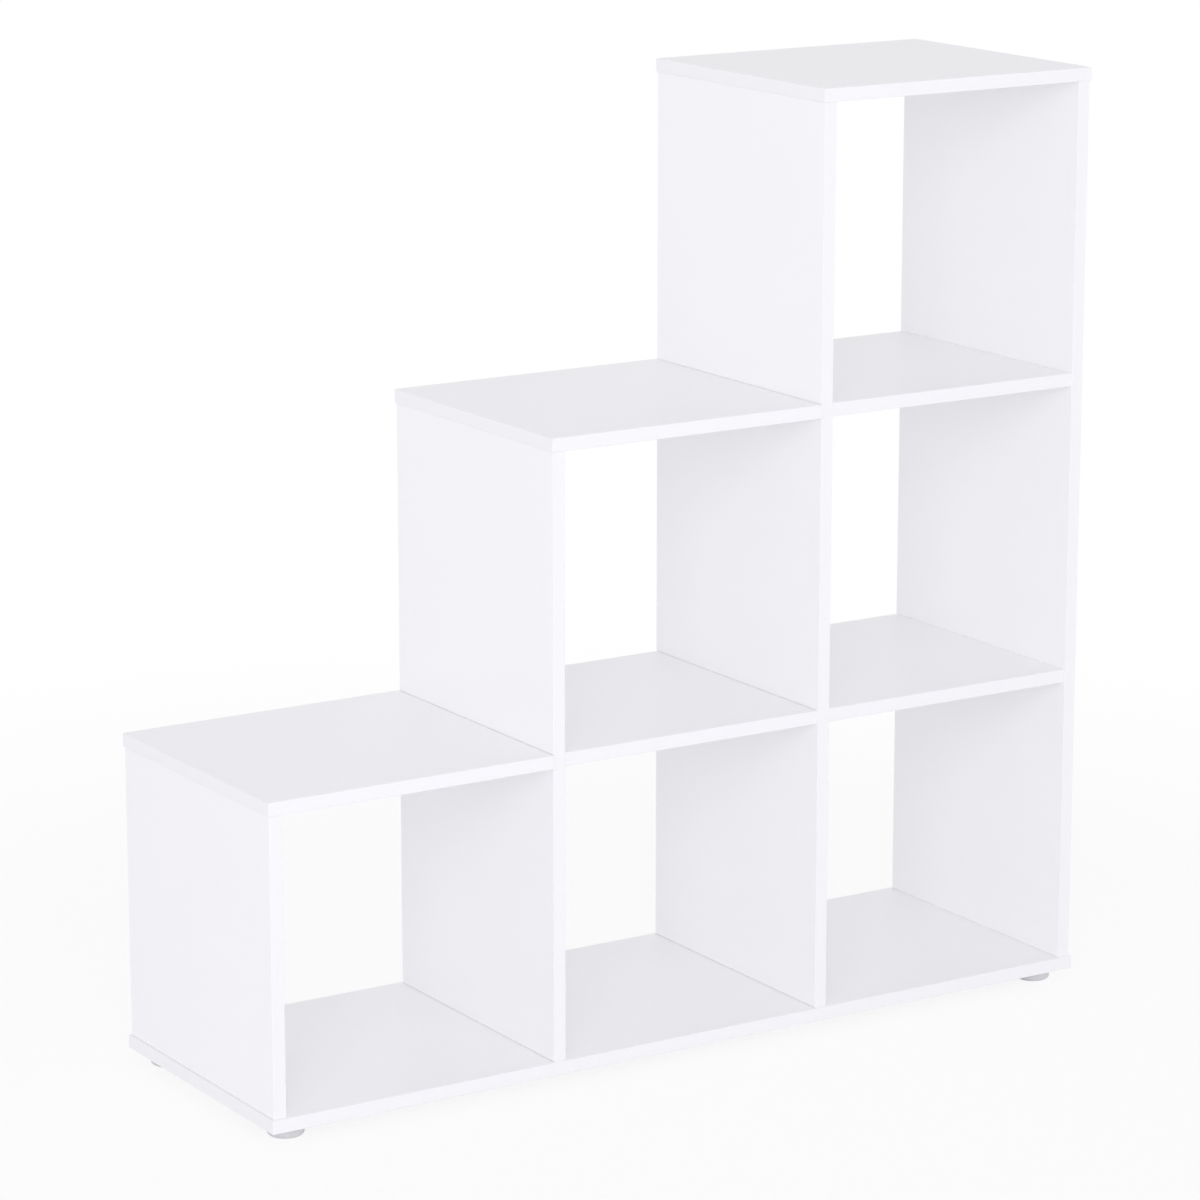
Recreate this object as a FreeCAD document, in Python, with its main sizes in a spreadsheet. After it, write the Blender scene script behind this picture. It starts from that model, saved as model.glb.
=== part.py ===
# Staircase bookshelf: three columns of open cells, one, two and three cells high, rising to the right.
# Millimetres. The origin is on the floor under the middle of the base. X runs right along the front,
# Y runs back through the cells and Z is up.
import FreeCAD, Part
import Sketcher
import os

# Driving dimensions. Every other size and place is an expression on these.
SIZES = {
    # Carcass: clear cells, and boards that all have one thickness
    "cell_width": "327",
    "cell_height": "327",
    "unit_depth": "330",
    "board_thickness": "15",
    "base_overhang": "2.5",
    "top_overhang": "1.5",
    "shelf_setback": "2",
    # Seams: at the ends of the edging, and behind it between boards, wider beside and under a divider
    "edging_gap": "0.05",
    "seam_gap": "0.2",
    "divider_gap": "0.5",
    "divider_foot_gap": "0.3",
    # Glued edging
    "edging_thickness": "0.8",
    "edging_ease": "0.4",
    # Places of the fittings, from the front and back edges of the uprights
    "fitting_inset": "64",
    "dowel_pitch": "32",
    # Clearances of bores: across a fit, across a cam bolt, and past the end of a fastener
    "fit_clearance": "0.2",
    "bolt_clearance": "1",
    "bore_end_gap": "0.5",
    "overrun": "1",
    # Wooden dowels
    "dowel_diameter": "8",
    "dowel_length": "30",
    "dowel_face_depth": "10",
    "dowel_chamfer": "1",
    # Cam locks
    "cam_diameter": "15",
    "cam_height": "12",
    "cam_slot_length": "8",
    "cam_slot_width": "1.6",
    "cam_slot_depth": "2.6",
    "cam_socket_diameter": "3.4",
    # Cam bolts
    "bolt_reach": "34",
    "bolt_thread_length": "11",
    "bolt_thread_diameter": "6",
    "bolt_shaft_diameter": "7",
    "bolt_neck_diameter": "3.6",
    "bolt_head_diameter": "6",
    "bolt_head_length": "3",
    # Caps on the cam locks
    "cap_diameter": "17.5",
    "cap_thickness": "1",
    "cap_ease": "0.4",
    "cap_peg_diameter": "3",
    "cap_peg_length": "2.2",
    # Screws through the base into the uprights
    "screw_length": "50",
    "screw_head_diameter": "10",
    "screw_head_height": "3.5",
    "screw_shank_diameter": "7",
    "screw_thread_diameter": "6",
    "screw_tip_length": "3",
    "screw_socket_width": "4",
    "screw_socket_depth": "2.8",
    # Round glides under the corners
    "foot_diameter": "40",
    "foot_height": "14",
    "foot_inset": "32",
    "foot_round": "4.5",
    "foot_recess_diameter": "11",
    "foot_recess_depth": "7",
    # Pan-head screws in the glides
    "foot_screw_length": "18",
    "foot_screw_diameter": "4",
    "foot_screw_tip_length": "2",
    "foot_screw_head_diameter": "8",
    "foot_screw_head_height": "2.5",
    "foot_screw_slot_length": "5",
    "foot_screw_slot_width": "1.2",
    "foot_screw_slot_depth": "1.4",
}

# Columns from the left, each with its boards from the lowest up: its shelves, and last its top.
# The base is level 0, so a column's first board is at level 1.
COLUMNS = (
    ("low_top",),
    ("middle_shelf", "middle_top"),
    ("lower_right_shelf", "upper_right_shelf", "high_top"),
)
# Uprights from the left, one on each side of every column
UPRIGHTS = ("left_side", "low_divider", "tall_divider", "right_side")

VECTOR = FreeCAD.Vector
HEADINGS = {
    "right": VECTOR(1, 0, 0),
    "left": VECTOR(-1, 0, 0),
    "back": VECTOR(0, 1, 0),
    "front": VECTOR(0, -1, 0),
    "up": VECTOR(0, 0, 1),
    "down": VECTOR(0, 0, -1),
}
# Fittings come in two rows, one near each long edge: the sign of Y
ROWS = (-1, 1)

document = FreeCAD.newDocument("staircase_bookshelf")
sheet = document.addObject("Spreadsheet::Sheet", "sizes")
for row, (alias, value) in enumerate(SIZES.items(), start=1):
    sheet.set(f"A{row}", alias)
    sheet.set(f"B{row}", value)
    sheet.setAlias(f"B{row}", alias)
document.recompute()

# Named places, as expressions
PITCH_X = "(sizes.cell_width + sizes.board_thickness)"
PITCH_Z = "(sizes.cell_height + sizes.board_thickness)"
UPRIGHT_BACK = "(sizes.unit_depth / 2 - sizes.base_overhang)"
TOP_BACK = f"({UPRIGHT_BACK} + sizes.top_overhang)"
SHELF_BACK = f"({UPRIGHT_BACK} - sizes.shelf_setback)"
UNIT_BACK = "(sizes.unit_depth / 2)"


def board_at(column, level):
    """The board of a column at a level, or None where the column has none."""
    if column not in range(len(COLUMNS)) or level > len(COLUMNS[column]):
        return None
    return COLUMNS[column][level - 1]


def cells_high(number):
    """How many cells high an upright stands: as many as the taller column beside it."""
    return max(len(boards) for boards in COLUMNS[max(number - 1, 0):number + 1])


def upright_left(number):
    """X of the left face of an upright, numbered from the left."""
    return f"(({number} - {len(COLUMNS)} / 2) * {PITCH_X} - sizes.board_thickness / 2)"


def upright_right(number):
    """X of the right face of an upright."""
    return f"({upright_left(number)} + sizes.board_thickness)"


def upright_middle(number):
    """X of the middle of an upright's thickness."""
    return f"({upright_left(number)} + sizes.board_thickness / 2)"


def is_divider(number):
    """Whether an upright stands between two columns."""
    return 0 < number < len(COLUMNS)


def face_gap(number):
    """The seam between an upright's faces and the boards that butt them, behind the edging."""
    return "sizes.divider_gap" if is_divider(number) else "sizes.seam_gap"


def foot_gap(number):
    """The seam between an upright's lower end and the base, behind the edging."""
    return "sizes.divider_foot_gap" if is_divider(number) else "sizes.seam_gap"


def under(level):
    """Z of the underside of the boards at a level."""
    return f"(sizes.foot_height + {level} * {PITCH_Z})"


def over(level):
    """Z of the upper face of the boards at a level."""
    return f"({under(level)} + sizes.board_thickness)"


def middle(level):
    """Z of the middle of the thickness of the boards at a level."""
    return f"({under(level)} + sizes.board_thickness / 2)"


def fitting_y(sign):
    """Y of the screws and cam bolts in one row."""
    return f"({sign} * ({UPRIGHT_BACK} - sizes.fitting_inset))"


def dowel_y(sign, steps):
    """Y of the dowels in one row, so many steps in from the screws and bolts."""
    return f"({sign} * ({UPRIGHT_BACK} - sizes.fitting_inset - {steps} * sizes.dowel_pitch))"


def number_of(expression):
    """The present value of an expression."""
    return float(sheet.evalExpression(expression))


def put(item, point, rotation=None):
    """Places a document object at three expressions."""
    if rotation is not None:
        item.Placement = FreeCAD.Placement(VECTOR(), rotation)
    for axis, expression in zip("xyz", point):
        item.setExpression(f"Placement.Base.{axis}", expression)


def box(name, x, y, z):
    """A box between a pair of expressions along each axis."""
    solid = document.addObject("Part::Box", name)
    put(solid, (x[0], y[0], z[0]))
    for side, (start, end) in zip(("Length", "Width", "Height"), (x, y, z)):
        solid.setExpression(side, f"({end}) - ({start})")
    return solid


def cut(name, base, tools):
    """A solid less its tools."""
    fused = tools[0]
    if len(tools) > 1:
        fused = document.addObject("Part::MultiFuse", f"{name}_tools")
        fused.Shapes = tools
    solid = document.addObject("Part::Cut", name)
    solid.Base = base
    solid.Tool = fused
    return solid


def group(name, members):
    """A compound of separate solids under one name."""
    compound = document.addObject("Part::Compound", name)
    compound.Links = members
    return compound


def draw(sketch, points):
    """Closes a polygon through points given as expressions, each tied to the sketch's axes."""
    places = [VECTOR(number_of(x), number_of(y), 0) for x, y in points]
    count = len(points)
    for index in range(count):
        sketch.addGeometry(Part.LineSegment(places[index], places[(index + 1) % count]), False)
    for index in range(count):
        sketch.addConstraint(Sketcher.Constraint("Coincident", index, 2, (index + 1) % count, 1))
    for index, point in enumerate(points):
        for kind, axis, expression in zip(("DistanceX", "DistanceY"), (-2, -1), point):
            if expression == "0":
                sketch.addConstraint(Sketcher.Constraint("PointOnObject", index, 1, axis))
                continue
            constraint = Sketcher.Constraint(kind, -1, 1, index, 1, number_of(expression))
            sketch.setExpression(f"Constraints[{sketch.addConstraint(constraint)}]", expression)


def turned(name, points):
    """A body of revolution about Z, from the radius and height of each point of its half section."""
    body = document.addObject("PartDesign::Body", name)
    sketch = body.newObject("Sketcher::SketchObject", f"{name}_half_section")
    plane = next(item for item in body.Origin.OriginFeatures if item.Role == "XZ_Plane")
    sketch.AttachmentSupport = (plane, [""])
    sketch.MapMode = "FlatFace"
    draw(sketch, points)
    turn = body.newObject("PartDesign::Revolution", f"{name}_turn")
    turn.Profile = sketch
    turn.ReferenceAxis = (sketch, ["V_Axis"])
    document.recompute()
    return body


def cross_slots(name, length, width, top, bottom):
    """Two crossed slots about Z, between two heights."""
    half_length = f"({length}) / 2"
    half_width = f"({width}) / 2"
    along = (f"-{half_length}", half_length)
    across = (f"-{half_width}", half_width)
    return [
        box(f"{name}_slot_x", along, across, (bottom, top)),
        box(f"{name}_slot_y", across, along, (bottom, top)),
    ]


# One of each fastener, made about its own Z axis and copied to every place where it is used


def dowel():
    """Beech dowel with chamfered ends, standing on the end that goes into a board's face."""
    radius = "sizes.dowel_diameter / 2"
    small = f"{radius} - sizes.dowel_chamfer"
    return turned("dowel", [
        ("0", "0"),
        (small, "0"),
        (radius, "sizes.dowel_chamfer"),
        (radius, "sizes.dowel_length - sizes.dowel_chamfer"),
        (small, "sizes.dowel_length"),
        ("0", "sizes.dowel_length"),
    ])


def bolt_half(start):
    """Half section of a cam bolt past a board's face at height start: shaft, neck and head."""
    shaft = "sizes.bolt_shaft_diameter / 2"
    neck = "sizes.bolt_neck_diameter / 2"
    head = "sizes.bolt_head_diameter / 2"
    shaft_end = f"{start} + sizes.bolt_reach - sizes.cam_diameter / 2 - sizes.bore_end_gap"
    head_start = f"{start} + sizes.bolt_reach - sizes.bolt_head_length / 2"
    head_end = f"{start} + sizes.bolt_reach + sizes.bolt_head_length / 2"
    return [
        (shaft, shaft_end),
        (neck, shaft_end),
        (neck, head_start),
        (head, head_start),
        (head, head_end),
        ("0", head_end),
    ]


def cam_bolt():
    """Single cam bolt, standing on the tip of its thread."""
    thread = "sizes.bolt_thread_diameter / 2"
    face = "sizes.bolt_thread_length"
    start = [("0", "0"), (thread, "0"), (thread, face), ("sizes.bolt_shaft_diameter / 2", face)]
    return turned("cam_bolt", start + bolt_half(face))


def divider_bolt():
    """Double-ended cam bolt, standing on one head, for a board on each side of a divider."""
    head = "sizes.bolt_head_diameter / 2"
    neck = "sizes.bolt_neck_diameter / 2"
    shaft_start = "sizes.bolt_head_length / 2 + sizes.cam_diameter / 2 + sizes.bore_end_gap"
    far_face = "sizes.bolt_head_length / 2 + sizes.bolt_reach + sizes.board_thickness"
    start = [
        ("0", "0"),
        (head, "0"),
        (head, "sizes.bolt_head_length"),
        (neck, "sizes.bolt_head_length"),
        (neck, shaft_start),
        ("sizes.bolt_shaft_diameter / 2", shaft_start),
    ]
    return turned("divider_bolt", start + bolt_half(far_face))


def cam_lock():
    """Die-cast cam from its mouth at zero inwards, with the bolt's channel towards X and a cross recess."""
    barrel = document.addObject("Part::Cylinder", "cam_barrel")
    barrel.setExpression("Radius", "sizes.cam_diameter / 2")
    barrel.setExpression("Height", "sizes.cam_height")
    half = "(sizes.bolt_head_diameter + sizes.bolt_clearance) / 2"
    channel = box(
        "cam_channel",
        ("-(sizes.bolt_head_length + sizes.bolt_clearance) / 2", "sizes.cam_diameter / 2 + sizes.overrun"),
        (f"-{half}", half),
        (f"sizes.board_thickness / 2 - {half}", f"sizes.board_thickness / 2 + {half}"),
    )
    socket = document.addObject("Part::Cylinder", "cam_socket")
    socket.setExpression("Radius", "sizes.cam_socket_diameter / 2")
    socket.setExpression("Height", "sizes.cam_slot_depth + sizes.overrun")
    put(socket, ("0", "0", "-sizes.overrun"))
    slots = cross_slots(
        "cam", "sizes.cam_slot_length", "sizes.cam_slot_width", "sizes.cam_slot_depth", "-sizes.overrun"
    )
    return cut("cam_lock", barrel, [channel, socket, *slots])


def cam_cap():
    """Plastic cap, standing on the tip of its peg, with its disc on the board's face."""
    peg = "sizes.cap_peg_diameter / 2"
    rim = "sizes.cap_diameter / 2"
    face = "sizes.cap_peg_length"
    crown = f"{face} + sizes.cap_thickness"
    return turned("cam_cap", [
        ("0", "0"),
        (peg, "0"),
        (peg, face),
        (rim, face),
        (rim, f"{crown} - sizes.cap_ease"),
        (f"{rim} - sizes.cap_ease", crown),
        ("0", crown),
    ])


def base_screw():
    """Countersunk screw with a hexagon socket, standing on its head."""
    head = "sizes.screw_head_diameter / 2"
    shank = "sizes.screw_shank_diameter / 2"
    thread = "sizes.screw_thread_diameter / 2"
    body = turned("base_screw_body", [
        ("0", "0"),
        (head, "0"),
        (shank, "sizes.screw_head_height"),
        (shank, "sizes.board_thickness"),
        (thread, "sizes.board_thickness"),
        (thread, "sizes.screw_length - sizes.screw_tip_length"),
        ("0", "sizes.screw_length"),
    ])
    socket = document.addObject("Part::Prism", "base_screw_socket")
    socket.Polygon = 6
    socket.setExpression("Circumradius", "sizes.screw_socket_width / sqrt(3)")
    socket.setExpression("Height", "sizes.screw_socket_depth + sizes.overrun")
    put(socket, ("0", "0", "-sizes.overrun"))
    return cut("base_screw", body, [socket])


def foot_screw():
    """Pan-head screw with a cross recess, standing on its head."""
    head = "sizes.foot_screw_head_diameter / 2"
    shank = "sizes.foot_screw_diameter / 2"
    seat = "sizes.foot_screw_head_height"
    body = turned("foot_screw_body", [
        ("0", "0"),
        (head, "0"),
        (head, seat),
        (shank, seat),
        (shank, f"{seat} + sizes.foot_screw_length - sizes.foot_screw_tip_length"),
        ("0", f"{seat} + sizes.foot_screw_length"),
    ])
    slots = cross_slots(
        "foot_screw",
        "sizes.foot_screw_slot_length",
        "sizes.foot_screw_slot_width",
        "sizes.foot_screw_slot_depth",
        "-sizes.overrun",
    )
    return cut("foot_screw", body, slots)


PATTERNS = {
    "dowels": dowel(),
    "cam_bolts": cam_bolt(),
    "divider_bolts": divider_bolt(),
    "cam_locks": cam_lock(),
    "cam_caps": cam_cap(),
    "base_screws": base_screw(),
    "foot_screws": foot_screw(),
}
copies = {kind: [] for kind in PATTERNS}
bores = {}


def fasten(kind, heading, point, towards=None):
    """Adds one fastener at a point, its Z along heading and, where it matters, its X towards a side."""
    copy = document.addObject("App::Link", f"{kind}_{len(copies[kind]) + 1}")
    copy.LinkedObject = PATTERNS[kind]
    axis = HEADINGS[heading]
    rotation = FreeCAD.Rotation(VECTOR(0, 0, 1), axis)
    if towards is not None:
        side = HEADINGS[towards]
        rotation = FreeCAD.Rotation(side, axis.cross(side), axis, "ZXY")
    put(copy, point, rotation)
    copies[kind].append(copy)


def shifted(point, heading, distance):
    """A point moved along a heading by an expression."""
    signs = HEADINGS[heading]
    return tuple(
        f"{place} + {int(sign)} * ({distance})" if sign else place for place, sign in zip(point, signs)
    )


def bore(board, heading, point, diameter, depth):
    """Adds a round bore to a board, from a point on its face along a heading."""
    tools = bores.setdefault(board, [])
    tool = document.addObject("Part::Cylinder", f"{board}_bore_{len(tools) + 1}")
    tool.setExpression("Radius", f"({diameter}) / 2")
    tool.setExpression("Height", f"({depth}) + sizes.overrun")
    start = shifted(point, heading, "-sizes.overrun")
    put(tool, start, FreeCAD.Rotation(VECTOR(0, 0, 1), HEADINGS[heading]))
    tools.append(tool)


OPPOSITE = {"right": "left", "left": "right", "up": "down", "down": "up"}
DOWEL_BORE = "sizes.dowel_diameter + sizes.fit_clearance"
THREAD_BORE = "sizes.bolt_thread_diameter + sizes.fit_clearance"
BOLT_BORE = "sizes.bolt_shaft_diameter + sizes.bolt_clearance"
CAM_BORE = "sizes.cam_diameter + sizes.fit_clearance"


def dowel_joint(face_board, end_board, heading, point):
    """One dowel that runs along heading, out of one board's face and into another board's end."""
    bore(face_board, OPPOSITE[heading], point, DOWEL_BORE, "sizes.dowel_face_depth + sizes.bore_end_gap")
    end_depth = "sizes.dowel_length - sizes.dowel_face_depth + sizes.bore_end_gap"
    bore(end_board, heading, point, DOWEL_BORE, end_depth)
    fasten("dowels", heading, shifted(point, OPPOSITE[heading], "sizes.dowel_face_depth"))


def cam_in_end(board, heading, point, mouth, mouth_heading):
    """A cam lock in a board, reached by a bolt that comes in along heading from a point on its end.

    The cam's bore opens on the board's face at mouth, half a thickness from the bolt's axis, and
    mouth_heading runs from that face into the board.
    """
    bore(board, heading, point, BOLT_BORE, "sizes.bolt_reach")
    bore(board, mouth_heading, mouth, CAM_BORE, "sizes.cam_height + sizes.bore_end_gap")
    fasten("cam_locks", mouth_heading, mouth, towards=OPPOSITE[heading])
    outwards = OPPOSITE[mouth_heading]
    fasten("cam_caps", outwards, shifted(mouth, mouth_heading, "sizes.cap_peg_length"))


def base_joint(number):
    """Screws and dowels between the base board and an upright's lower end."""
    upright = UPRIGHTS[number]
    for sign in ROWS:
        under_side = (upright_middle(number), fitting_y(sign), under(0))
        shank = "sizes.screw_shank_diameter + sizes.fit_clearance"
        bore("base_board", "up", under_side, shank, "sizes.board_thickness + sizes.overrun")
        sink = document.addObject("Part::Cone", f"{upright}_countersink_{len(bores['base_board'])}")
        sink.setExpression("Radius1", "(sizes.screw_head_diameter + sizes.fit_clearance) / 2")
        sink.setExpression("Radius2", f"({shank}) / 2")
        sink.setExpression("Height", "sizes.screw_head_height")
        put(sink, under_side)
        bores["base_board"].append(sink)
        pilot = (upright_middle(number), fitting_y(sign), over(0))
        thread = "sizes.screw_thread_diameter + sizes.fit_clearance"
        bore(upright, "up", pilot, thread, "sizes.screw_length - sizes.board_thickness + sizes.bore_end_gap")
        fasten("base_screws", "up", under_side)
        dowel_joint("base_board", upright, "up", (upright_middle(number), dowel_y(sign, 1), over(0)))


def top_joint(top, number, level):
    """Cam bolts and dowels between a top board and the upright that it rests on."""
    upright = UPRIGHTS[number]
    for sign in ROWS:
        seat = (upright_middle(number), fitting_y(sign), under(level))
        bore(top, "up", seat, THREAD_BORE, "sizes.bolt_thread_length + sizes.bore_end_gap")
        fasten("cam_bolts", "down", shifted(seat, "up", "sizes.bolt_thread_length"))
        mouth = (upright_right(number), fitting_y(sign), f"{under(level)} - sizes.bolt_reach")
        cam_in_end(upright, "down", seat, mouth, "left")
        dowel_joint(top, upright, "down", (upright_middle(number), dowel_y(sign, 1), under(level)))


def butt_end(board, number, heading, level, dowel_steps):
    """Cam locks and dowels at the end of a board that butts an upright; heading runs into the board."""
    face = upright_right(number) if heading == "right" else upright_left(number)
    for sign in ROWS:
        point = (face, fitting_y(sign), middle(level))
        mouth_x, mouth_y, _ = shifted(point, heading, "sizes.bolt_reach")
        cam_in_end(board, heading, point, (mouth_x, mouth_y, under(level)), "up")
        dowel_joint(UPRIGHTS[number], board, heading, (face, dowel_y(sign, dowel_steps), middle(level)))


def butt_joint(number, level, left_board, right_board):
    """Boards that butt an upright at one level: from the left alone, or from both sides."""
    upright = UPRIGHTS[number]
    butt_end(left_board, number, "left", level, dowel_steps=1)
    if right_board is not None:
        butt_end(right_board, number, "right", level, dowel_steps=2)
    for sign in ROWS:
        left_face = (upright_left(number), fitting_y(sign), middle(level))
        if right_board is None:
            bore(upright, "right", left_face, THREAD_BORE, "sizes.bolt_thread_length + sizes.bore_end_gap")
            fasten("cam_bolts", "left", shifted(left_face, "right", "sizes.bolt_thread_length"))
        else:
            bore(upright, "right", left_face, BOLT_BORE, "sizes.board_thickness + sizes.overrun")
            reach = "sizes.bolt_reach + sizes.bolt_head_length / 2"
            fasten("divider_bolts", "right", shifted(left_face, "left", reach))


# Feet: a turned glide near each corner, rounded below, with a recess for its screw


def foot(name, x, y):
    """One glide on the floor under the base, with its screw."""
    hole = "(sizes.foot_screw_diameter + sizes.fit_clearance) / 2"
    recess = "sizes.foot_recess_diameter / 2"
    rim = "sizes.foot_diameter / 2"
    body = turned(name, [
        (recess, "0"),
        (rim, "0"),
        (rim, "sizes.foot_height"),
        (hole, "sizes.foot_height"),
        (hole, "sizes.foot_recess_depth"),
        (recess, "sizes.foot_recess_depth"),
    ])
    circles = {
        f"Edge{index}": edge.Curve
        for index, edge in enumerate(body.Shape.Edges, start=1)
        if isinstance(edge.Curve, Part.Circle)
    }
    lower_rim = max(circles, key=lambda edge: circles[edge].Radius - circles[edge].Center.z)
    turn = body.Tip
    rounding = body.newObject("PartDesign::Fillet", f"{name}_rounding")
    rounding.Base = (turn, [lower_rim])
    rounding.setExpression("Radius", "sizes.foot_round")
    body.Tip = rounding
    put(body, (x, y, "0"))
    depth = "sizes.foot_screw_length - (sizes.foot_height - sizes.foot_recess_depth) + sizes.bore_end_gap"
    bore("base_board", "up", (x, y, under(0)), "sizes.foot_screw_diameter + sizes.fit_clearance", depth)
    fasten("foot_screws", "up", (x, y, "sizes.foot_recess_depth - sizes.foot_screw_head_height"))
    return body


# Boards: a drilled core, and edging strips of one section on the edges that show

BOUNDS = {"left": (0, 0), "right": (0, 1), "front": (1, 0), "back": (1, 1)}
LONG_SIDES = ("front", "back")

edging_section = document.addObject("Sketcher::SketchObject", "edging_section")
draw(edging_section, [
    ("0", "0"),
    ("sizes.edging_thickness - sizes.edging_ease", "0"),
    ("sizes.edging_thickness", "sizes.edging_ease"),
    ("sizes.edging_thickness", "sizes.board_thickness - sizes.edging_ease"),
    ("sizes.edging_thickness - sizes.edging_ease", "sizes.board_thickness"),
    ("0", "sizes.board_thickness"),
])


def trimmed(extents, sides):
    """A board's extents, less the edging on some of its sides."""
    bounds = [list(pair) for pair in extents]
    for side in sides:
        axis, end = BOUNDS[side]
        sign = "-" if end else "+"
        bounds[axis][end] = f"{bounds[axis][end]} {sign} sizes.edging_thickness"
    return bounds


def strip(board, side, thickness_heading, extents):
    """One edging strip on a side of a board, along the whole of its extents."""
    outward = HEADINGS[side]
    across = HEADINGS[thickness_heading]
    along = outward.cross(across)
    seat = trimmed(extents, [side])
    point = [
        bounds[1] if outward[axis] > 0 or along[axis] < 0 else bounds[0]
        for axis, bounds in enumerate(seat)
    ]
    start, end = next(bounds for axis, bounds in enumerate(extents) if along[axis])
    band = document.addObject("Part::Extrusion", f"{board}_{side}_strip")
    band.Base = edging_section
    band.DirMode = "Normal"
    band.Solid = True
    band.setExpression("LengthFwd", f"({end}) - ({start})")
    put(band, point, FreeCAD.Rotation(outward, across, along, "ZXY"))
    return band


def panel(name, thickness_heading, sides, extents, core_extents=None):
    """One board: its core, drilled, and the edging on the given sides.

    The extents are a pair of expressions along each axis. Where the board meets another one, the core's
    own stop short of the edging's, so that the seam shows on the faces but not at the front and the back.
    """
    core = cut(name, box(f"{name}_core", *trimmed(core_extents or extents, sides)), bores[name])
    between = trimmed(extents, LONG_SIDES)
    strips = [
        strip(name, side, thickness_heading, extents if side in LONG_SIDES else between) for side in sides
    ]
    return [core, group(f"{name}_edging", strips)]


def both_ways(half):
    """A pair of expressions, as far one way as the other."""
    return (f"-{half}", half)


# The joints, which drill the boards and place the fasteners

for number in range(len(UPRIGHTS)):
    base_joint(number)
    upper_end = cells_high(number)
    for level in range(1, upper_end):
        butt_joint(number, level, board_at(number - 1, level), board_at(number, level))
    top_joint(board_at(number, upper_end) or board_at(number - 1, upper_end), number, upper_end)

# The pieces

UNIT_RIGHT = f"({upright_right(len(COLUMNS))} + sizes.base_overhang)"
TOP_RIGHT = f"{upright_right(len(COLUMNS))} + sizes.top_overhang"
FOOT_X = f"({UNIT_RIGHT} - sizes.foot_inset)"
FOOT_Y = f"({UNIT_BACK} - sizes.foot_inset)"

pieces = [
    foot("foot_front_left", f"-{FOOT_X}", f"-{FOOT_Y}"),
    foot("foot_front_right", FOOT_X, f"-{FOOT_Y}"),
    foot("foot_back_left", f"-{FOOT_X}", FOOT_Y),
    foot("foot_back_right", FOOT_X, FOOT_Y),
]
pieces += panel(
    "base_board", "up", ("front", "back", "left", "right"),
    (both_ways(UNIT_RIGHT), both_ways(UNIT_BACK), (under(0), over(0))),
)
for number, name in enumerate(UPRIGHTS):
    across, depth = (upright_left(number), upright_right(number)), both_ways(UPRIGHT_BACK)
    lower_end, upper_end = over(0), under(cells_high(number))
    pieces += panel(
        name, "right", LONG_SIDES,
        (across, depth, (f"{lower_end} + sizes.edging_gap", f"{upper_end} - sizes.edging_gap")),
        (across, depth, (f"{lower_end} + {foot_gap(number)}", f"{upper_end} - sizes.seam_gap")),
    )
for column, (*shelves, top) in enumerate(COLUMNS):
    left_face, right_face = upright_right(column), upright_left(column + 1)
    ends = (f"{left_face} + sizes.edging_gap", f"{right_face} - sizes.edging_gap")
    core_ends = (f"{left_face} + {face_gap(column)}", f"{right_face} - {face_gap(column + 1)}")
    for level, name in enumerate(shelves, start=1):
        depth, height = both_ways(SHELF_BACK), (under(level), over(level))
        pieces += panel(name, "up", LONG_SIDES, (ends, depth, height), (core_ends, depth, height))
    level = len(shelves) + 1
    last = column + 1 == len(COLUMNS)
    left_end = f"{upright_left(column)} - sizes.top_overhang"
    depth, height = both_ways(TOP_BACK), (under(level), over(level))
    pieces += panel(
        top, "up", ("front", "back", "left", "right") if last else ("front", "back", "left"),
        ((left_end, TOP_RIGHT if last else ends[1]), depth, height),
        ((left_end, TOP_RIGHT if last else core_ends[1]), depth, height),
    )
pieces += [group(kind, members) for kind, members in copies.items()]
document.recompute()

# Checks, then one file for each piece

for item in document.Objects:
    if {"Invalid", "Error"} & set(item.State):
        raise RuntimeError(f"{item.Label} did not recompute: {item.State}")
for piece in pieces:
    if piece.Shape.isNull() or not piece.Shape.isValid():
        raise RuntimeError(f"{piece.Label} has no valid shape")
    if piece.TypeId == "Part::Cut" and piece.Shape.Volume >= piece.Base.Shape.Volume:
        raise RuntimeError(f"{piece.Label} was not drilled")

os.makedirs("parts", exist_ok=True)
for piece in pieces:
    piece.Shape.exportStep(os.path.join("parts", f"{piece.Label}.step"))
    print(piece.Label, len(piece.Shape.Solids), "solids")
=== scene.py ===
"""Looks of a white staircase bookshelf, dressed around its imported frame.

The boards, their edging and the hidden fasteners keep their solids and take finishes here. The glides and
the caps over the cam locks are modelled in more detail than their solids and stand for them. Lengths are
in metres, or in millimetres where a name says so. X runs right along the front, Y runs back and Z is up.
"""

import logging
import math
from collections.abc import Callable, Iterator
from contextlib import contextmanager
from dataclasses import dataclass
from enum import Enum

import bmesh
import bpy
from bpy.types import Material, Node, NodeSocket, NodeTree, Object
from mathutils import Matrix, Vector


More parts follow.
